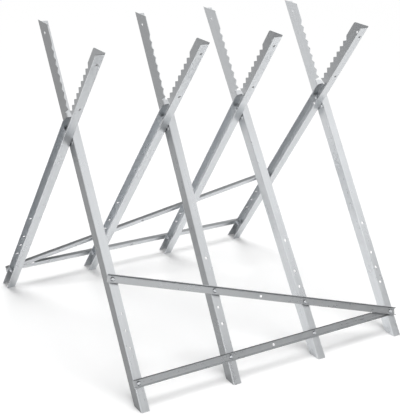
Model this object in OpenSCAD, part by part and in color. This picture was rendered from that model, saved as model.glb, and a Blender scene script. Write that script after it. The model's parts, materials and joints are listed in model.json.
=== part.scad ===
// Log saw stand of bent sheet steel: four crossed frames that fold on one line of pivot bolts.
// Each side is tied by a lower brace and a diagonal brace. The legs are all one pressing, and the
// front half of the stand is the rear half turned half round about the vertical through its middle.
// Lengths are in millimetres, X runs along the log, Z is up, and the origin is on the floor.

/* [Stand] */
// Spacing of the crossed frames along the log
frame_pitch = 246; // [200:1:300]
// Height of the pivot bolts above the floor
pivot_h = 541; // [520:1:570]
// Height of the tops of the arms above the floor
stand_h = 766; // [750:1:850]
// Angle of each leg from upright
half_angle = 34; // [30:0.5:37]
// Inward lean of the two outer frames, taken up in the play of the brace bolts
outer_lean = 0.73; // [0:0.01:1]
// Inward lean of the two middle frames
middle_lean = 1.54; // [0:0.01:2]

/* [Leg] */
// Thickness of the leg's sheet
sheet_t = 1.5; // [1:0.1:2]
// Inner radius of the leg's bends
bend_r = 1; // [0.8:0.1:1.5]
// Width of the web, over both flanges
web_w = 30; // [28:0.5:36]
// Width of the flange that carries the braces
brace_flange_w = 21.5; // [20:0.5:26]
// Width of the flange on the other edge, which runs up to the top
toe_flange_w = 24; // [21:0.5:30]
// Height of the brace flange's upper end above the pivot, along the leg
flange_rise = 45; // [40:1:52]
// Radius of the brace flange's free upper corner
flange_corner_r = 12; // [6:0.5:15]
// Width of the slit between the brace flange and the toothed edge
slit_w = 2; // [1.5:0.1:3]
// Diameter of the relief hole at the end of the slit
relief_d = 4; // [3.2:0.1:5]
// Diameter of the punched holes
hole_d = 7; // [6.6:0.1:8]
// Distance from the foot up to the lowest brace hole, along the leg
brace_hole_rise = 65.5; // [55:0.5:90]
// Spacing of the brace holes
brace_hole_pitch = 40; // [36:1:44]
// Distance from the pivot down to the spare hole in the web
spare_hole_drop = 26; // [22:1:40]
// Distance from the web's top down to its hole
top_hole_drop = 28; // [20:1:40]
// Drop of the toe flange's top below the corner of the web
toe_top_drop = 5; // [3:0.5:10]
// Distance from the toe flange's top down to its upper hole
toe_hole_drop = 30.5; // [15:0.5:50]
// Spacing of the two holes in the toe flange
toe_hole_pitch = 144; // [100:1:160]

/* [Teeth] */
// Spacing of the teeth
tooth_pitch = 20; // [14:0.5:26]
// Least length of plain edge between the highest tooth and the arm's top corner
tooth_plain = 40; // [20:1:60]
// Depth of the notches
tooth_depth = 8; // [5:0.5:10]
// Distance of the tooth tips from the pivot, across the leg
tooth_reach = 24.5; // [22:0.5:30]
// Flat on each tooth tip
tooth_flat = 1; // [0.5:0.1:2]
// Radius of the arm's top corner on the toothed side
top_corner_r = 9; // [5:0.5:12]

/* [Braces] */
// Width of a brace over its lips
brace_w = 20; // [18:0.5:22]
// Height of a brace over its lips
brace_lip = 8; // [5:0.5:12]
// Angle by which the lips flare outwards
lip_flare = 10; // [0:1:15]
// Thickness of the braces' sheet
brace_t = 1.5; // [1:0.1:2]
// Inner radius of the braces' bends
brace_bend_r = 1; // [0.8:0.1:1.5]
// Length of a brace beyond its last hole
brace_end = 13; // [12:0.5:18]

/* [Fasteners] */
// Diameter of the bolts
bolt_d = 6; // [5:0.1:6.2]
// Diameter of the bolts' domed heads
head_d = 11; // [9:0.5:12]
// Height of the heads
head_h = 3.5; // [2.5:0.1:5]
// Height of the rim below a head's dome
head_rim = 0.6; // [0.4:0.1:1]
// Width of the nuts across their flats
nut_af = 10; // [8:0.5:10]
// Height of the brace bolts' nuts
nut_h = 5; // [4:0.5:6]
// Height of the pivot bolts' lock nuts
lock_nut_h = 6; // [5:0.5:8]
// Chamfer on the corners of the nuts
nut_chamfer = 0.7; // [0.3:0.1:1]
// Length of thread left past a brace nut that holds two braces
thread_tip = 1.3; // [1:0.1:3]
// Length of thread left past a lock nut
lock_tip = 2.5; // [1:0.1:4]
// Diameter of the washers
washer_d = 12; // [11:0.5:12.5]
// Thickness of the washers
washer_t = 1.2; // [0.8:0.1:1.6]

/* [Fits] */
// Radial clearance of the pivot bolts in the webs
pivot_clear = 0.08; // [0.03:0.01:0.1]
// Least gap between the crossing webs
web_clear = 0.2; // [0.1:0.05:0.5]
// Radial clearance of bolts in nuts
thread_clear = 0.05; // [0.02:0.01:0.1]
// Radial clearance of bolts in washers
washer_clear = 0.2; // [0.1:0.05:0.3]
// Gap between a pivot washer's edge and the bend beside it
washer_edge = 0.5; // [0.3:0.1:2]
// Gap left where tilted faces meet
seat_clear = 0.03; // [0.02:0.01:0.1]
// Gap between the diagonal brace and the lips cut back for it
lip_clear = 1; // [0.5:0.1:3]

/* [Hidden] */
$fn = 64;
zinc = "silver";
bright_zinc = "gainsboro";

// Length by which cutting shapes run past what they cut, and by which joined shapes overlap
overrun = 5;
frame_count = 4;
frames = [1:frame_count];
// Brace holes in each leg, counted in pitches from the highest
hole_steps = [0, 2, 3, 4, 6];
last_step = hole_steps[len(hole_steps) - 1];
// Share of a tooth's pitch taken by the flank above its tip
tooth_fall_share = 0.55;

bend_outer_r = bend_r + sheet_t;
washer_r = washer_d / 2;
// The leg's own axes: X across the stand from the web's face, Y from the pivot to the toothed side,
// Z up the leg from the pivot
brace_face = bend_outer_r + washer_r + washer_edge;
toe_face = brace_face - web_w;
bend_line = brace_face - bend_outer_r;
hole_x = brace_flange_w / 2;
foot_z = -(pivot_h + brace_face * sin(half_angle)) / cos(half_angle);
last_hole_z = foot_z + brace_hole_rise;
toe_top = top_z(toe_face) - toe_top_drop;
// The toothed edge runs from the slit to where the arm's top corner starts to round
tooth_start = flange_rise + slit_w;
tooth_root = tooth_reach - tooth_depth;
corner_len = top_corner_r * tan((90 - half_angle) / 2);
tooth_end = top_z(tooth_reach) - corner_len;
notch_count = floor((tooth_end - tooth_plain - tooth_start) / tooth_pitch);

// The crossing webs lean about different lines, so their faces need room to clear at the corners
web_gap = web_clear + tan(middle_lean) * tan(half_angle) * web_w;
// Distance of the pivot washers from the plane between the webs
pivot_seat = web_gap / 2 + sheet_t / cos(middle_lean) + tan(middle_lean) * washer_r + seat_clear;
bolt_len = 2 * brace_t + sheet_t + washer_t + nut_h + thread_tip;

// The diagonal lies on the lower brace at their shared bolt and runs down to the face of the last leg
diagonal_from = hole_at(1, last_step);
diagonal_to = hole_at(frame_count, 0);
diagonal_run = diagonal_to - diagonal_from;
diagonal_len = norm(diagonal_run);
diagonal_slope = atan2(diagonal_run.y, diagonal_run.x);
// Length over which the diagonal still covers the lower brace
cover_len = brace_w / 2 * (1 + cos(diagonal_slope)) / sin(diagonal_slope);
diagonal_tilt = asin(brace_t / (diagonal_len + brace_end - cover_len));

// Place of a crossed frame along the log, at the lower braces
function frame_x(i) = (i - (frame_count + 1) / 2) * frame_pitch;

// Lean of a crossed frame towards the middle of the stand
function frame_lean(i) =
    sign(frame_count + 1 - 2 * i) * (i == 1 || i == frame_count ? outer_lean : middle_lean);

// Place of a frame's pivot along the log
function pivot_x(i) = frame_x(i) - last_hole_z * tan(frame_lean(i));

// Place of a rear leg's brace hole, along the log and up the leg
function hole_at(i, step) =
    let (rise = (last_step - step) * brace_hole_pitch)
    [
        frame_x(i) - web_gap / 2 - hole_x + rise * sin(frame_lean(i)),
        last_hole_z + rise * cos(frame_lean(i))
    ];

// Height of the level cut across the top of an arm, along the leg
function top_z(y) = (stand_h - pivot_h - y * sin(half_angle)) / cos(half_angle);

// Height of the diagonal's inner face over the legs' brace faces, at a place along the log
function diagonal_lift(x) =
    let (along = (x - diagonal_from.x) / cos(diagonal_slope))
    seat_clear + (diagonal_len + brace_end - along) * tan(diagonal_tilt);

// Rear bolts: place along the log, place up the leg, and height of the seat under the head
lower_bolts = [
    for (i = [2:frame_count])
        let (at = hole_at(i, last_step))
        [at.x, at.y, brace_t]
];
diagonal_bolts = [
    for (i = frames)
        let (at = hole_at(i, last_step * (frame_count - i) / (frame_count - 1)))
        [at.x, at.y, diagonal_lift(at.x) + brace_t + seat_clear]
];
rear_bolts = concat(lower_bolts, diagonal_bolts);

// Moves the leg's own axes to the rear half of the stand
module in_rear_half() {
    translate([0, 0, pivot_h]) rotate([half_angle, 0, 0]) children();
}

module in_front_half() {
    rotate([0, 0, 180]) children();
}

// Turns the shape's Z to the outward side of the legs' brace faces
module outward(x, y, z) {
    translate([x, y, z]) rotate([-90, 0, 0]) children();
}

// Block behind X = 0 whose two corners there are rounded and whose sides flare away from them
module bent_block(depth, half_w, r, flare) {
    corner_y = half_w - r * tan(45 - flare / 2);
    side_x = r * (sin(flare) - 1);
    side_y = corner_y + r * cos(flare);
    end_y = half_w + depth * tan(flare);
    polygon([
        [0, corner_y], [side_x, side_y], [-depth, end_y],
        [-depth, -end_y], [side_x, -side_y], [0, -corner_y]
    ]);
    for (y = [-corner_y, corner_y])
        translate([-r, y]) circle(r);
}

// Section of a bent channel that opens towards -X, with its back between y0 and y1
module channel(depth, y0, y1, t, r, flare = 0) {
    half_w = (y1 - y0) / 2;
    translate([0, y0 + half_w]) difference() {
        bent_block(depth, half_w, r + t, flare);
        translate([-t, 0])
            bent_block(depth + overrun, half_w - t / cos(flare) + t * tan(flare), r, flare);
    }
}

// Outline of the arm seen from the side, which starts a little below the top of the brace flange
module arm_outline() {
    corner_z = top_z(tooth_reach);
    toe_side = toe_face - overrun;
    fall = tooth_pitch * tooth_fall_share;
    notches = [
        for (k = [1:1:notch_count])
            let (z = tooth_start + (k - 1) * tooth_pitch)
            each [[tooth_reach, z + tooth_flat], [tooth_root, z + fall], [tooth_reach, z + tooth_pitch]]
    ];
    polygon(concat(
        [[toe_side, flange_rise - overrun], [bend_line, flange_rise - overrun]],
        [[bend_line, tooth_start], [tooth_reach, tooth_start]],
        notches,
        [
            [tooth_reach, tooth_end],
            [tooth_reach - corner_len * cos(half_angle), corner_z + corner_len * sin(half_angle)],
            [toe_side, top_z(toe_side)]
        ]
    ));
    translate([tooth_reach - top_corner_r, tooth_end]) circle(top_corner_r);
}

// Leg below the slit: a channel with a flange on both edges
module leg_channel() {
    trim_w = toe_flange_w - brace_flange_w + overrun;
    trim_y = bend_line - bend_outer_r;
    difference() {
        translate([0, 0, foot_z - overrun])
            linear_extrude(flange_rise - foot_z + overrun)
                channel(toe_flange_w, toe_face, brace_face, sheet_t, bend_r);
        translate([-brace_flange_w - trim_w, trim_y, foot_z - 2 * overrun])
            cube([trim_w, web_w, flange_rise - foot_z + 3 * overrun]);
        difference() {
            translate([-brace_flange_w - overrun, trim_y, flange_rise - flange_corner_r])
                cube([flange_corner_r + overrun, web_w, flange_corner_r + overrun]);
            outward(flange_corner_r - brace_flange_w, trim_y - overrun, flange_rise - flange_corner_r)
                cylinder(r = flange_corner_r, h = web_w + 2 * overrun);
        }
    }
}

// Leg above the slit: the toe flange and a flat web with teeth along its other edge
module leg_arm() {
    arm_len = top_z(toe_face) - flange_rise + 2 * overrun;
    difference() {
        intersection() {
            translate([0, 0, flange_rise - overrun])
                linear_extrude(arm_len)
                    channel(toe_flange_w, toe_face, tooth_reach + toe_flange_w, sheet_t, bend_r);
            translate([-toe_flange_w - overrun, 0, 0])
                rotate([90, 0, 90])
                    linear_extrude(toe_flange_w + 2 * overrun) arm_outline();
        }
        translate([-toe_flange_w - overrun, toe_face - overrun, toe_top])
            cube([toe_flange_w + overrun - sheet_t, web_w, arm_len]);
    }
}

module web_hole(y, z, d) {
    translate([-toe_flange_w, y, z]) rotate([0, 90, 0]) cylinder(d = d, h = toe_flange_w + overrun);
}

// The leg as pressed, square to the stand and not yet cut to the floor
module leg_blank() {
    difference() {
        union() {
            leg_channel();
            leg_arm();
        }
        for (step = hole_steps)
            outward(-hole_x, bend_line, last_hole_z + (last_step - step) * brace_hole_pitch)
                cylinder(d = hole_d, h = bend_outer_r + overrun);
        for (drop = [0, toe_hole_pitch])
            outward(-hole_x, toe_face - overrun, toe_top - toe_hole_drop - drop)
                cylinder(d = hole_d, h = bend_outer_r + overrun);
        web_hole(0, -spare_hole_drop, hole_d);
        web_hole(0, top_z(0) - top_hole_drop, hole_d);
        web_hole(bend_line, flange_rise + slit_w / 2, relief_d);
    }
}

// A rear leg leans about its lowest brace bolt, is cut level at the floor and drilled for the pivot
module rear_leg(i) {
    drill_len = 2 * toe_flange_w;
    floor_len = 2 * frame_count * frame_pitch;
    color(zinc) difference() {
        in_rear_half()
            translate([frame_x(i) - web_gap / 2 - hole_x, 0, last_hole_z])
                rotate([0, frame_lean(i), 0])
                    translate([hole_x, 0, -last_hole_z]) leg_blank();
        translate([-floor_len / 2, -floor_len / 2, -pivot_h])
            cube([floor_len, floor_len, pivot_h]);
        translate([pivot_x(i) - drill_len / 2, 0, pivot_h])
            rotate([0, 90, 0]) cylinder(d = bolt_d + 2 * pivot_clear, h = drill_len);
    }
}

module front_leg(i) {
    in_front_half() rear_leg(frame_count + 1 - i);
}

// Brace lying along X with its inner face at Y = 0 and its lips outward
module brace_channel(length) {
    half_back = brace_w / 2 - brace_lip * tan(lip_flare);
    translate([-brace_end, 0, 0])
        rotate([90, 0, 90])
            linear_extrude(length + 2 * brace_end)
                mirror([1, 0]) channel(brace_lip, -half_back, half_back, brace_t, brace_bend_r, lip_flare);
}

module brace_holes(places) {
    for (at = places)
        outward(at.x, brace_face - overrun, at.y)
            cylinder(d = hole_d, h = 2 * overrun + brace_lip + brace_t);
}

module rear_lower_brace() {
    first = hole_at(1, last_step);
    last = hole_at(frame_count, last_step);
    middle = (first + last) / 2;
    half_w = brace_w / 2;
    upper_cut = (cover_len + lip_clear / sin(diagonal_slope)) * cos(diagonal_slope)
        + half_w * sin(diagonal_slope);
    lower_cover = half_w * cos(diagonal_slope) - half_w + brace_t + lip_clear;
    lower_cut = lower_cover / tan(diagonal_slope) + half_w * sin(diagonal_slope);
    color(zinc) in_rear_half() difference() {
        translate([first.x, brace_face, first.y]) brace_channel(last.x - first.x);
        for (cut = [[upper_cut, 0], [lower_cut, -brace_w]])
            translate([first.x - brace_end - overrun, brace_face + brace_t, first.y + cut[1]])
                cube([brace_end + overrun + cut[0], brace_lip, brace_w]);
        brace_holes(concat([middle], [for (i = frames) hole_at(i, last_step)]));
    }
}

module rear_diagonal_brace() {
    middle = (diagonal_from + diagonal_to) / 2;
    color(zinc) in_rear_half() difference() {
        translate([diagonal_from.x, brace_face + diagonal_lift(diagonal_from.x), diagonal_from.y])
            rotate([0, -diagonal_slope, 0])
                rotate([0, 0, -diagonal_tilt]) brace_channel(diagonal_len);
        brace_holes(concat([middle], diagonal_bolts));
    }
}

module front_lower_brace() {
    in_front_half() rear_lower_brace();
}

module front_diagonal_brace() {
    in_front_half() rear_diagonal_brace();
}

// Bolt along Z, with its head above Z = 0
module domed_bolt(length) {
    dome_h = head_h - head_rim;
    dome_r = (pow(head_d / 2, 2) + pow(dome_h, 2)) / (2 * dome_h);
    translate([0, 0, -length]) cylinder(d = bolt_d, h = length);
    intersection() {
        cylinder(d = head_d, h = head_h);
        translate([0, 0, head_h - dome_r]) sphere(dome_r);
    }
}

module washer() {
    difference() {
        cylinder(d = washer_d, h = washer_t);
        translate([0, 0, -overrun]) cylinder(d = bolt_d + 2 * washer_clear, h = washer_t + 2 * overrun);
    }
}

// Hexagon nut with chamfered corners
module nut(height) {
    corner_r = nut_af / 2 / cos(30);
    crown_r = corner_r - nut_chamfer;
    difference() {
        intersection() {
            cylinder(r = corner_r, h = height, $fn = 6);
            rotate_extrude() polygon([
                [0, 0],
                [crown_r, 0],
                [corner_r + nut_chamfer, 2 * nut_chamfer],
                [corner_r + nut_chamfer, height - 2 * nut_chamfer],
                [crown_r, height],
                [0, height]
            ]);
        }
        translate([0, 0, -overrun]) cylinder(d = bolt_d + 2 * thread_clear, h = height + 2 * overrun);
    }
}

module rear_brace_bolts() {
    color(bright_zinc) in_rear_half()
        for (at = rear_bolts)
            outward(at.x, brace_face + at[2], at.y) domed_bolt(bolt_len);
}

module rear_brace_washers() {
    color(bright_zinc) in_rear_half()
        for (at = rear_bolts)
            outward(at.x, brace_face - sheet_t - washer_t, at.y) washer();
}

module rear_brace_nuts() {
    color(bright_zinc) in_rear_half()
        for (at = rear_bolts)
            outward(at.x, brace_face - sheet_t - washer_t - nut_h, at.y) nut(nut_h);
}

module front_brace_bolts() {
    in_front_half() rear_brace_bolts();
}

module front_brace_washers() {
    in_front_half() rear_brace_washers();
}

module front_brace_nuts() {
    in_front_half() rear_brace_nuts();
}

// Turns the shape's Z along the log, away from a frame's pivot
module at_pivot(i, x) {
    translate([pivot_x(i) + x, 0, pivot_h]) rotate([0, 90, 0]) children();
}

module pivot_bolt(i) {
    head_x = pivot_seat + washer_t;
    color(bright_zinc) at_pivot(i, head_x) domed_bolt(2 * head_x + lock_nut_h + lock_tip);
}

module pivot_nut(i) {
    color(bright_zinc) at_pivot(i, -pivot_seat - washer_t - lock_nut_h) nut(lock_nut_h);
}

module pivot_head_washers() {
    color(bright_zinc)
        for (i = frames)
            at_pivot(i, pivot_seat) washer();
}

module pivot_nut_washers() {
    color(bright_zinc)
        for (i = frames)
            at_pivot(i, -pivot_seat - washer_t) washer();
}

rear_leg(1);  // rear_leg_1
rear_leg(2);  // rear_leg_2
rear_leg(3);  // rear_leg_3
rear_leg(4);  // rear_leg_4
front_leg(1);  // front_leg_1
front_leg(2);  // front_leg_2
front_leg(3);  // front_leg_3
front_leg(4);  // front_leg_4
rear_lower_brace();
rear_diagonal_brace();
front_lower_brace();
front_diagonal_brace();
rear_brace_bolts();
rear_brace_nuts();
rear_brace_washers();
front_brace_bolts();
front_brace_nuts();
front_brace_washers();
pivot_bolt(1);  // pivot_bolt_1
pivot_bolt(2);  // pivot_bolt_2
pivot_bolt(3);  // pivot_bolt_3
pivot_bolt(4);  // pivot_bolt_4
pivot_nut(1);  // pivot_nut_1
pivot_nut(2);  // pivot_nut_2
pivot_nut(3);  // pivot_nut_3
pivot_nut(4);  // pivot_nut_4
pivot_head_washers();
pivot_nut_washers();
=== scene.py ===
"""Looks of the log saw stand: galvanised sheet steel and zinc-plated bolts on a pale floor."""
import json
import math

import bmesh
import bpy
from mathutils import Matrix, Vector

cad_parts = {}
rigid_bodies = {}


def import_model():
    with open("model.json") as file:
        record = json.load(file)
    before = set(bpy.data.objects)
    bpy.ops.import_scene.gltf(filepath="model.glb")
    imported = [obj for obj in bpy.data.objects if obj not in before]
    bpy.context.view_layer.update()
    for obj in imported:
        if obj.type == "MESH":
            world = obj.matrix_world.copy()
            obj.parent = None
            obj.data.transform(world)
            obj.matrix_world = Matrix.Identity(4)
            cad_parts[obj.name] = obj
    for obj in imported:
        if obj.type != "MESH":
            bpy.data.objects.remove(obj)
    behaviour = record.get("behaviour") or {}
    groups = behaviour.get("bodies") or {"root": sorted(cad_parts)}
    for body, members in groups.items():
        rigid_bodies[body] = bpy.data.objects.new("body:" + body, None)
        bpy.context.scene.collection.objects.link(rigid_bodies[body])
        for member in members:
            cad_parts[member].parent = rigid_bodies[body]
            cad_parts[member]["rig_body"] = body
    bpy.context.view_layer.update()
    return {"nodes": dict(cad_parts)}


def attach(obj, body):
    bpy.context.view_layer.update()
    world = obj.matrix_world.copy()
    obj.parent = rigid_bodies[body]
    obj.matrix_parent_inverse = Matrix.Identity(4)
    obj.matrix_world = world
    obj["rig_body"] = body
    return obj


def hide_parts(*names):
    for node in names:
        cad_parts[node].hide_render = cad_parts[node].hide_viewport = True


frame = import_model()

MM = 0.001
WHITE = (1.0, 1.0, 1.0, 1.0)
# Lean of the legs from upright
LEG_ANGLE = math.radians(34.0)

# The photograph's frame and the camera fitted to it
PHOTO_W = 400
PHOTO_H = 416
FOCAL_PX = 1044.1
AXIS_PX = (221.2, 216.6)
CAMERA_POINT = Vector((-1.3362, -2.0985, 1.2884))
CAMERA_AZIMUTH = math.radians(33.81)
CAMERA_ELEVATION = math.radians(22.32)
CAMERA_ROLL = math.radians(2.76)
SENSOR_MM = 36.0

# Galvanised sheet: its darkest and palest zinc, and the zinc of worn edges, which also paints a highlight
# along them
ZINC_DARK = (0.61, 0.63, 0.65, 1.0)
ZINC_PALE = (0.73, 0.745, 0.76, 1.0)
ZINC_WEAR_AND_HIGHLIGHT = (0.78, 0.785, 0.79, 1.0)
ZINC_WEAR_AND_HIGHLIGHT_SHARE = 0.6
ZINC_WEAR_AND_HIGHLIGHT_R = 0.9 * MM
# Marks of the sheet: crystals, fine lines and streaks drawn out along the grain, and clouded patches
SPANGLE = {"Scale": 140.0}
ROLLING = {"Scale": 420.0, "Detail": 3.0}
STREAKS = {"Scale": 150.0, "Detail": 2.0}
PATCHES = {"Scale": 11.0, "Detail": 5.0, "Roughness": 0.6}
GRAIN_STRETCH = 50.0
# The part of a mark's range that counts
NOISE_SPAN = (0.3, 0.7)
CRYSTAL_SPAN = (0.2, 0.8)
FULL_SPAN = (0.0, 1.0)
# How far each mark lifts the tone from the darkest zinc to the palest
PATCH_TONE = (0.0, 0.26)
CRYSTAL_TONE = (0.0, 0.16)
ROLLING_TONE = (0.0, 0.20)
STREAK_TONE = (0.0, 0.38)
# What each mark adds to the roughness, and the bump that they give
PATCH_ROUGHNESS = (0.27, 0.35)
CRYSTAL_ROUGHNESS = (-0.03, 0.05)
STREAK_ROUGHNESS = (-0.03, 0.04)
WORN_ROUGHNESS = -0.08
ROLLING_RELIEF = 0.5
CRYSTAL_RELIEF = 0.25
SHEET_BUMP = {"Strength": 0.12, "Distance": 0.2 * MM}
# Heights where the painted shade on a web starts and is full: on the arm alone, fading downwards, or all
# over
ARM_ONLY = (0.50, 0.61)
FADING = (0.25, 0.58)
ALL_OVER = (-0.02, -0.01)
# Fitted to the photograph: each leg's tone as a share of that zinc, partly its own and partly painted light,
# what its web keeps of it under painted shade and dark reflections, and where
REAR_TONES = ((0.93, 0.50, ARM_ONLY), (1.0, 0.50, ARM_ONLY), (1.0, 0.50, ARM_ONLY), (0.90, 0.55, ARM_ONLY))
FRONT_TONES = ((0.90, 0.39, ALL_OVER), (0.86, 0.52, ALL_OVER), (0.95, 0.74, FADING), (1.02, 0.82, FADING))
# The same for the braces: their tone, what is kept of it under their upper lips, where shade is painted,
# and the share of that painted shade on their outer side
BRACE_TONE = 1.02
BRACE_SHADE_TONE = 0.26
OUTSIDE_SHADE_SHARE = 0.49
BRACE_GRAIN = (0.0, math.radians(90.0), 0.0)
# How far faces look along an axis, where a mask changes: webs along X, the faces of a brace along Z
WEB_FACING = (0.80, 0.97)
OUTSIDE_FACING = (-0.1, 0.1)
LIP_TOP_FACING = (0.78, 0.84)
LIP_UNDER_FACING = (-0.68, -0.62)
# The upper edge of a level brace, as shares of its height, where a dark line of painted shade runs
BRACE_UPPER_EDGE = (0.84, 0.90)
# How well a rounded and a flat normal agree, on a flat face and on a sharp edge
EDGE_AGREEMENT = (0.995, 0.80)
EDGE_SAMPLES = 6

# Zinc plating of the bolts, nuts and washers
PLATE_DARK = (0.56, 0.58, 0.61, 1.0)
PLATE_PALE = (0.70, 0.71, 0.72, 1.0)
PLATE_WORN = (0.80, 0.80, 0.80, 1.0)
PLATE_WORN_SHARE = 0.5
PLATE_WEAR_R = 0.4 * MM
PLATE_CLOUDS = {"Scale": 220.0, "Detail": 4.0}
PLATE_GRAIN = {"Scale": 2600.0, "Detail": 2.0}
PLATE_ROUGHNESS = (0.20, 0.32)
PLATE_BUMP = {"Strength": 0.1, "Distance": 0.05 * MM}

# Bolts: domed heads over an M6 thread
HEAD_R = 5.5 * MM
HEAD_H = 3.5 * MM
HEAD_RIM = 0.6 * MM
HEAD_EDGE = 0.2 * MM
DOME_STEPS = 8
THREAD_R = 3.0 * MM
THREAD_PITCH = 1.0 * MM
THREAD_DEPTH = 0.55 * MM
THREAD_CREST = 0.12
THREAD_STEPS = 6
TIP_CHAMFER = 0.6 * MM
ROUND_STEPS = 24
SMOOTH_BELOW = math.radians(40.0)
WELD = 0.001 * MM
BOLT_AXES = {
    "rear_brace_bolts": Vector((0.0, math.cos(LEG_ANGLE), math.sin(LEG_ANGLE))),
    "front_brace_bolts": Vector((0.0, -math.cos(LEG_ANGLE), math.sin(LEG_ANGLE))),
    **{f"pivot_bolt_{number}": Vector((1.0, 0.0, 0.0)) for number in range(1, 5)},
}

# Studio: a pale floor, a broad overhead light, softboxes and pale walls
FLOOR_SIZE = 30.0
FLOOR_GREYS = (0.90, 0.92)
FLOOR_CLOUDS = {"Scale": 0.8}
# Share of plain white in the floor, beside the stand and farther off, and the distances where it changes
FLOOR_WHITE = (0.05, 0.95)
FLOOR_REACH = (0.8, 2.6)
OVERHEAD_ENERGY = 1.85
OVERHEAD_ANGLE = math.radians(36.0)
BOX_DISTANCE = 4.0
FRONT_BOX = {"azimuth": 28.0, "elevation": 49.0, "width": 4.2, "height": 2.9, "radiance": 0.90}
REAR_BOX = {"azimuth": 172.0, "elevation": 45.0, "width": 4.8, "height": 2.9, "radiance": 0.90}
LEFT_BOX = {"azimuth": -34.0, "elevation": 35.0, "width": 2.4, "height": 1.8, "radiance": 1.5}
# The walls' grey at each height of the view, given as the sine of its angle above the horizon
WALL_GREYS = ((0.0, 1.0), (0.20, 1.0), (0.32, 0.40), (0.50, 0.42), (0.65, 0.34), (0.82, 0.13))

# The colour sockets of a mix node
MIX_FIRST = 6
MIX_SECOND = 7
MIX_RESULT = 2


def link(thing):
    bpy.context.scene.collection.objects.link(thing)


def new_material(name):
    """A material with an empty node tree."""
    material = bpy.data.materials.new(name)
    material.use_nodes = True
    material.node_tree.nodes.clear()
    return material


def put(tree, kind, settings=None, inputs=None):
    """Adds a node, sets its options, and fills or links its inputs."""
    node = tree.nodes.new(kind)
    for key, value in (settings or {}).items():
        setattr(node, key, value)
    for key, value in (inputs or {}).items():
        socket = node.inputs[key]
        if isinstance(value, bpy.types.NodeSocket):
            tree.links.new(value, socket)
        else:
            socket.default_value = value
    return node


def remap(tree, value, low, high, to_low, to_high):
    """Stretches a value from one range to another, held at both ends."""
    node = put(tree, "ShaderNodeMapRange", {"clamp": True}, {
        "Value": value, "From Min": low, "From Max": high, "To Min": to_low, "To Max": to_high})
    return node.outputs["Result"]


def rise(tree, value, span):
    """0 below a span and 1 above it."""
    return remap(tree, value, *span, 0.0, 1.0)


def fall(tree, value, span):
    """1 below a span and 0 above it."""
    return remap(tree, value, *span, 1.0, 0.0)


def chain(tree, operation, *values):
    """A chain of one math operation over several values."""
    result = values[0]
    for value in values[1:]:
        result = put(tree, "ShaderNodeMath", {"operation": operation}, {0: result, 1: value}).outputs[0]
    return result


def total(tree, *values):
    return chain(tree, "ADD", *values)


def product(tree, *values):
    return chain(tree, "MULTIPLY", *values)


def noise(tree, place, pattern):
    """The value of a noise pattern at a place."""
    return put(tree, "ShaderNodeTexNoise", None, {"Vector": place, **pattern}).outputs["Fac"]


def shade(colour, tone):
    """A colour at a share of its brightness."""
    return (*(tone * part for part in colour[:3]), 1.0)


def between(tree, value, dark, pale):
    """A colour that goes from dark to pale as a value goes from 0 to 1."""
    ramp = put(tree, "ShaderNodeValToRGB", None, {"Fac": value})
    ramp.color_ramp.elements[0].color = dark
    ramp.color_ramp.elements[1].color = pale
    return ramp.outputs["Color"]


def mix(tree, share, first, second, how="MIX"):
    """Two colours mixed by a share of the second."""
    node = put(tree, "ShaderNodeMix", {"data_type": "RGBA", "blend_type": how}, {
        "Factor": share, MIX_FIRST: first, MIX_SECOND: second})
    return node.outputs[MIX_RESULT]


def coordinate(tree, kind, axis):
    """One axis of a texture coordinate."""
    place = put(tree, "ShaderNodeTexCoord").outputs[kind]
    return put(tree, "ShaderNodeSeparateXYZ", None, {"Vector": place}).outputs[axis]


def edge_mask(tree, radius):
    """1 along sharp edges and 0 on flat faces."""
    rounded = put(tree, "ShaderNodeBevel", {"samples": EDGE_SAMPLES}, {"Radius": radius})
    flat = put(tree, "ShaderNodeNewGeometry")
    same = put(tree, "ShaderNodeVectorMath", {"operation": "DOT_PRODUCT"}, {
        0: rounded.outputs["Normal"], 1: flat.outputs["Normal"]})
    return remap(tree, same.outputs["Value"], *EDGE_AGREEMENT, 0.0, 1.0)


def web_painted_shade(tree, heights):
    """1 on the webs above a height, where shade and dark reflections are painted in, and 0 on the flanges.
    """
    facing = coordinate(tree, "Normal", "X")
    side = put(tree, "ShaderNodeMath", {"operation": "ABSOLUTE"}, {0: facing}).outputs[0]
    height = coordinate(tree, "Object", "Z")
    return product(tree, rise(tree, side, WEB_FACING), rise(tree, height, heights))


def brace_painted_shade(tree):
    """Painted shade: 1 under a brace's upper lip, less on its outer side, 0 on its inner side and lower lip.
    """
    facing = coordinate(tree, "Normal", "Z")
    outside = remap(tree, facing, *OUTSIDE_FACING, 0.0, OUTSIDE_SHADE_SHARE)
    outside = product(tree, outside, fall(tree, facing, LIP_TOP_FACING))
    return total(tree, outside, fall(tree, facing, LIP_UNDER_FACING))


def level_brace_painted_shade(tree):
    """The same painted shade, with 1 along the upper edge of a level brace, painted dark there."""
    edge = rise(tree, coordinate(tree, "Generated", "Z"), BRACE_UPPER_EDGE)
    return chain(tree, "MAXIMUM", brace_painted_shade(tree), edge)


def sheet_marks(tree, grain_turn):
    """Patches, crystals, rolling lines and streaks of a sheet, with its grain turned from upright."""
    spot = put(tree, "ShaderNodeTexCoord").outputs["Object"]
    along = put(tree, "ShaderNodeMapping", {"vector_type": "TEXTURE"}, {
        "Vector": spot, "Rotation": grain_turn, "Scale": (1.0, 1.0, GRAIN_STRETCH)}).outputs["Vector"]
    spangle = put(tree, "ShaderNodeTexVoronoi", {"feature": "F1"}, {"Vector": spot, **SPANGLE})
    crystals = put(tree, "ShaderNodeRGBToBW", None, {"Color": spangle.outputs["Color"]}).outputs["Val"]
    return noise(tree, spot, PATCHES), crystals, noise(tree, along, ROLLING), noise(tree, along, STREAKS)


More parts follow.
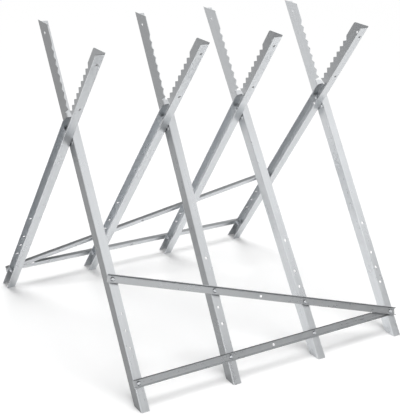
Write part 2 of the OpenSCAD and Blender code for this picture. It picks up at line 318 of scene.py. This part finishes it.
def zinc_sheet(name, grain_turn, painted_shade_mask, own_and_painted_tone, painted_shade_tone):
    """Galvanised sheet with spangle, rolling lines along the grain, dull patches, worn edges that also carry
    a painted highlight, and painted shade where a mask puts it.
    """
    material = new_material(name)
    tree = material.node_tree
    patches, crystals, rolling, streaks = sheet_marks(tree, grain_turn)
    sharp_edges = edge_mask(tree, ZINC_WEAR_AND_HIGHLIGHT_R)
    tone = total(
        tree,
        remap(tree, patches, *NOISE_SPAN, *PATCH_TONE),
        remap(tree, crystals, *CRYSTAL_SPAN, *CRYSTAL_TONE),
        remap(tree, rolling, *NOISE_SPAN, *ROLLING_TONE),
        remap(tree, streaks, *NOISE_SPAN, *STREAK_TONE))
    zinc = between(tree, tone, shade(ZINC_DARK, own_and_painted_tone), shade(ZINC_PALE, own_and_painted_tone))
    # Edges lighter: partly wear, partly a painted highlight
    zinc = mix(tree, product(tree, sharp_edges, ZINC_WEAR_AND_HIGHLIGHT_SHARE), zinc, ZINC_WEAR_AND_HIGHLIGHT)
    # Painted shade, and on the webs painted dark reflections, multiplied in where the mask is 1
    zinc = mix(tree, painted_shade_mask(tree), zinc, shade(WHITE, painted_shade_tone), "MULTIPLY")
    roughness = total(
        tree,
        remap(tree, patches, *NOISE_SPAN, *PATCH_ROUGHNESS),
        remap(tree, crystals, *FULL_SPAN, *CRYSTAL_ROUGHNESS),
        remap(tree, streaks, *NOISE_SPAN, *STREAK_ROUGHNESS),
        product(tree, sharp_edges, WORN_ROUGHNESS))
    relief = total(tree, product(tree, rolling, ROLLING_RELIEF), product(tree, crystals, CRYSTAL_RELIEF))
    bump = put(tree, "ShaderNodeBump", None, {"Height": relief, **SHEET_BUMP})
    shader = put(tree, "ShaderNodeBsdfPrincipled", None, {
        "Base Color": zinc, "Metallic": 1.0, "Roughness": roughness, "Normal": bump.outputs["Normal"]})
    put(tree, "ShaderNodeOutputMaterial", None, {"Surface": shader.outputs["BSDF"]})
    return material


def zinc_plate(name):
    """Bright zinc plating of the bolts, nuts and washers."""
    material = new_material(name)
    tree = material.node_tree
    place = put(tree, "ShaderNodeTexCoord").outputs["Object"]
    clouds = noise(tree, place, PLATE_CLOUDS)
    sharp_edges = edge_mask(tree, PLATE_WEAR_R)
    zinc = between(tree, rise(tree, clouds, NOISE_SPAN), PLATE_DARK, PLATE_PALE)
    zinc = mix(tree, product(tree, sharp_edges, PLATE_WORN_SHARE), zinc, PLATE_WORN)
    bump = put(tree, "ShaderNodeBump", None, {"Height": noise(tree, place, PLATE_GRAIN), **PLATE_BUMP})
    shader = put(tree, "ShaderNodeBsdfPrincipled", None, {
        "Base Color": zinc, "Metallic": 1.0,
        "Roughness": remap(tree, clouds, *NOISE_SPAN, *PLATE_ROUGHNESS), "Normal": bump.outputs["Normal"]})
    put(tree, "ShaderNodeOutputMaterial", None, {"Surface": shader.outputs["BSDF"]})
    return material


def islands(mesh):
    """The corner points of each separate solid in a mesh."""
    bm = bmesh.new()
    bm.from_mesh(mesh)
    bmesh.ops.remove_doubles(bm, verts=bm.verts, dist=WELD)
    unseen = set(bm.verts)
    groups = []
    for first in bm.verts:
        if first not in unseen:
            continue
        unseen.remove(first)
        front = [first]
        group = []
        while front:
            corner = front.pop()
            group.append(corner.co.copy())
            near = {edge.other_vert(corner) for edge in corner.link_edges} & unseen
            unseen -= near
            front.extend(near)
        groups.append(group)
    bm.free()
    return groups


def bolt_place(points, axis):
    """Where a bolt sits: its frame, with Z along the axis and the origin under the head, and its length."""
    turn = axis.to_track_quat("Z", "Y").to_matrix()
    local = [turn.transposed() @ point for point in points]
    low = [min(point[i] for point in local) for i in range(3)]
    high = [max(point[i] for point in local) for i in range(3)]
    seat = Vector(((low[0] + high[0]) / 2, (low[1] + high[1]) / 2, high[2] - HEAD_H))
    return Matrix.Translation(turn @ seat) @ turn.to_4x4(), seat.z - low[2]


def head_rings():
    """Radius and height of each ring of a head, from under its rim up to its dome."""
    dome_h = HEAD_H - HEAD_RIM
    dome_r = (HEAD_R ** 2 + dome_h ** 2) / (2 * dome_h)
    spread = math.asin(HEAD_R / dome_r)
    rings = [(HEAD_R - HEAD_EDGE, 0.0), (HEAD_R, HEAD_EDGE)]
    for step in range(DOME_STEPS):
        angle = spread * (1 - step / DOME_STEPS)
        rings.append((dome_r * math.sin(angle), HEAD_H - dome_r * (1 - math.cos(angle))))
    return rings


def thread_radius(turn, depth, length):
    """Radius of the thread, at a share of a turn and a depth below the head."""
    phase = (depth / THREAD_PITCH + turn) % 1.0
    groove = (1.0 - abs(2.0 * phase - 1.0) - THREAD_CREST) / (1.0 - 2.0 * THREAD_CREST)
    radius = THREAD_R - THREAD_DEPTH * min(max(groove, 0.0), 1.0)
    return min(radius, THREAD_R - TIP_CHAMFER + length - depth)


def add_ring(bm, place, radius_at, height):
    """A ring of corners round the bolt."""
    ring = []
    for step in range(ROUND_STEPS):
        turn = step / ROUND_STEPS
        angle = 2 * math.pi * turn
        radius = radius_at(turn)
        corner = Vector((radius * math.cos(angle), radius * math.sin(angle), height))
        ring.append(bm.verts.new(place @ corner))
    return ring


def add_bolt(bm, place, length):
    """One bolt: rings from the tip of its thread to its dome, closed at both ends."""
    rows = math.ceil(length / THREAD_PITCH * THREAD_STEPS)
    rings = []
    for row in range(rows, -1, -1):
        depth = length * row / rows
        rings.append(add_ring(bm, place, lambda turn: thread_radius(turn, depth, length), -depth))
    for radius, height in head_rings():
        rings.append(add_ring(bm, place, lambda turn: radius, height))
    for lower, upper in zip(rings, rings[1:]):
        for step in range(ROUND_STEPS):
            after = (step + 1) % ROUND_STEPS
            bm.faces.new((lower[step], lower[after], upper[after], upper[step]))
    crown = bm.verts.new(place @ Vector((0.0, 0.0, HEAD_H)))
    for step in range(ROUND_STEPS):
        bm.faces.new((rings[-1][step], rings[-1][(step + 1) % ROUND_STEPS], crown))
    bm.faces.new(reversed(rings[0]))


def make_bolts(node, axis, material):
    """Threaded bolts in the places of a node's plain ones."""
    bm = bmesh.new()
    for points in islands(frame["nodes"][node].data):
        add_bolt(bm, *bolt_place(points, axis))
    mesh = bpy.data.meshes.new(node + "_threaded")
    bm.to_mesh(mesh)
    bm.free()
    mesh.polygons.foreach_set("use_smooth", [True] * len(mesh.polygons))
    mesh.set_sharp_from_angle(angle=SMOOTH_BELOW)
    mesh.materials.append(material)
    bolts = bpy.data.objects.new(node + "_threaded", mesh)
    link(bolts)
    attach(bolts, frame["nodes"][node]["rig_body"])
    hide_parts(node)


def dress(node, material):
    """Gives a CAD node its material."""
    mesh = frame["nodes"][node].data
    mesh.materials.clear()
    mesh.materials.append(material)


def dress_leg(node, lean, own_and_painted_tone, painted_shade_tone, heights):
    """Gives a leg its own sheet, with the rolling lines along it and painted shade on its web above a
    height.
    """
    grain_turn = (lean, 0.0, 0.0)
    sheet = zinc_sheet(
        "zinc_" + node, grain_turn, lambda tree: web_painted_shade(tree, heights), own_and_painted_tone, painted_shade_tone)
    dress(node, sheet)


def dress_legs():
    """Every leg is its own length of sheet, so each has a slightly different skin, with its own painted
    light and shade on top.
    """
    for number, tones in enumerate(REAR_TONES, 1):
        dress_leg(f"rear_leg_{number}", LEG_ANGLE, *tones)
    for number, tones in enumerate(FRONT_TONES, 1):
        dress_leg(f"front_leg_{number}", -LEG_ANGLE, *tones)


def dress_braces():
    """The braces share one sheet with painted shade under their upper lips, and the front lower one has a
    painted dark line of shade along its upper edge.
    """
    sheet = zinc_sheet("zinc_braces", BRACE_GRAIN, brace_painted_shade, BRACE_TONE, BRACE_SHADE_TONE)
    level_sheet = zinc_sheet("zinc_level_brace", BRACE_GRAIN, level_brace_painted_shade, BRACE_TONE, BRACE_SHADE_TONE)
    for node in ("front_diagonal_brace", "rear_lower_brace", "rear_diagonal_brace"):
        dress(node, sheet)
    dress("front_lower_brace", level_sheet)


def dress_fasteners():
    """The nuts and washers keep their solids, and the bolts get real threads."""
    plate = zinc_plate("zinc_plate")
    for node in frame["nodes"]:
        if "_leg_" not in node and not node.endswith("_brace"):
            dress(node, plate)
    for node, axis in BOLT_AXES.items():
        make_bolts(node, axis, plate)


def floor_paint():
    """Pale paint, plainer white farther from the stand, where it is seen directly or mirrored."""
    material = new_material("pale_floor")
    tree = material.node_tree
    place = put(tree, "ShaderNodeTexCoord").outputs["Object"]
    dark, pale = (shade(WHITE, grey) for grey in FLOOR_GREYS)
    colour = between(tree, noise(tree, place, FLOOR_CLOUDS), dark, pale)
    paint = put(tree, "ShaderNodeBsdfDiffuse", None, {"Color": colour})
    white = put(tree, "ShaderNodeEmission", None, {"Strength": 1.0})
    path = put(tree, "ShaderNodeLightPath").outputs
    seen = total(tree, path["Is Camera Ray"], path["Is Glossy Ray"], path["Is Transmission Ray"])
    reach = put(tree, "ShaderNodeVectorMath", {"operation": "LENGTH"}, {0: place}).outputs["Value"]
    share = remap(tree, reach, *FLOOR_REACH, *FLOOR_WHITE)
    mixed = put(tree, "ShaderNodeMixShader", None, {
        0: product(tree, seen, share), 1: paint.outputs["BSDF"], 2: white.outputs["Emission"]})
    put(tree, "ShaderNodeOutputMaterial", None, {"Surface": mixed.outputs["Shader"]})
    return material


def make_floor():
    """Pale floor that fills the picture behind the stand and keeps a light shadow."""
    bpy.ops.mesh.primitive_plane_add(size=FLOOR_SIZE)
    floor = bpy.context.object
    floor.name = "floor"
    floor.data.materials.append(floor_paint())


def make_overhead():
    """Broad overhead light that whitens the floor and drops soft shadows under the braces."""
    light = bpy.data.lights.new("overhead", "SUN")
    light.energy = OVERHEAD_ENERGY
    light.angle = OVERHEAD_ANGLE
    overhead = bpy.data.objects.new("overhead", light)
    overhead.visible_glossy = False
    link(overhead)


def make_box(name, azimuth, elevation, width, height, radiance):
    """Softbox that looks at the stand, so many degrees to the right of its front and above the floor."""
    light = bpy.data.lights.new(name, "AREA")
    light.shape = "RECTANGLE"
    light.size = width
    light.size_y = height
    light.energy = radiance * math.pi * width * height
    box = bpy.data.objects.new(name, light)
    turn = math.radians(azimuth)
    lift = math.radians(elevation)
    way = Vector((math.cos(lift) * math.sin(turn), -math.cos(lift) * math.cos(turn), math.sin(lift)))
    box.location = way * BOX_DISTANCE
    box.rotation_euler = (-way).to_track_quat("-Z", "Y").to_euler()
    link(box)


def make_world():
    """Walls of the studio, white behind the floor and dimmer above."""
    world = bpy.data.worlds.new("studio")
    world.use_nodes = True
    tree = world.node_tree
    tree.nodes.clear()
    ramp = put(tree, "ShaderNodeValToRGB", None, {"Fac": coordinate(tree, "Generated", "Z")})
    elements = ramp.color_ramp.elements
    elements.remove(elements[1])
    elements[0].color = shade(WHITE, WALL_GREYS[0][1])
    for sine, grey in WALL_GREYS[1:]:
        elements.new(sine).color = shade(WHITE, grey)
    walls = put(tree, "ShaderNodeBackground", None, {"Color": ramp.outputs["Color"]})
    put(tree, "ShaderNodeOutputWorld", None, {"Surface": walls.outputs["Background"]})
    bpy.context.scene.world = world


def make_camera():
    """Camera at the photograph's viewing angle."""
    cos_az = math.cos(CAMERA_AZIMUTH)
    sin_az = math.sin(CAMERA_AZIMUTH)
    cos_el = math.cos(CAMERA_ELEVATION)
    forward = Vector((sin_az * cos_el, cos_az * cos_el, -math.sin(CAMERA_ELEVATION)))
    level = Vector((cos_az, -sin_az, 0.0))
    upright = level.cross(forward)
    right = level * math.cos(CAMERA_ROLL) + upright * math.sin(CAMERA_ROLL)
    up = upright * math.cos(CAMERA_ROLL) - level * math.sin(CAMERA_ROLL)
    turn = Matrix((right, up, -forward)).transposed().to_4x4()
    camera = bpy.data.objects.new("camera", bpy.data.cameras.new("camera"))
    camera.matrix_world = Matrix.Translation(CAMERA_POINT) @ turn
    camera.data.sensor_fit = "HORIZONTAL"
    camera.data.sensor_width = SENSOR_MM
    camera.data.lens = FOCAL_PX * SENSOR_MM / PHOTO_W
    camera.data.shift_x = (PHOTO_W / 2 - AXIS_PX[0]) / PHOTO_W
    camera.data.shift_y = (AXIS_PX[1] - PHOTO_H / 2) / PHOTO_W
    link(camera)
    bpy.context.scene.camera = camera


dress_legs()
dress_braces()
dress_fasteners()
make_floor()
make_overhead()
make_box("front_box", **FRONT_BOX)
make_box("rear_box", **REAR_BOX)
make_box("left_box", **LEFT_BOX)
make_world()
make_camera()
bpy.context.scene.view_settings.view_transform = "Standard"
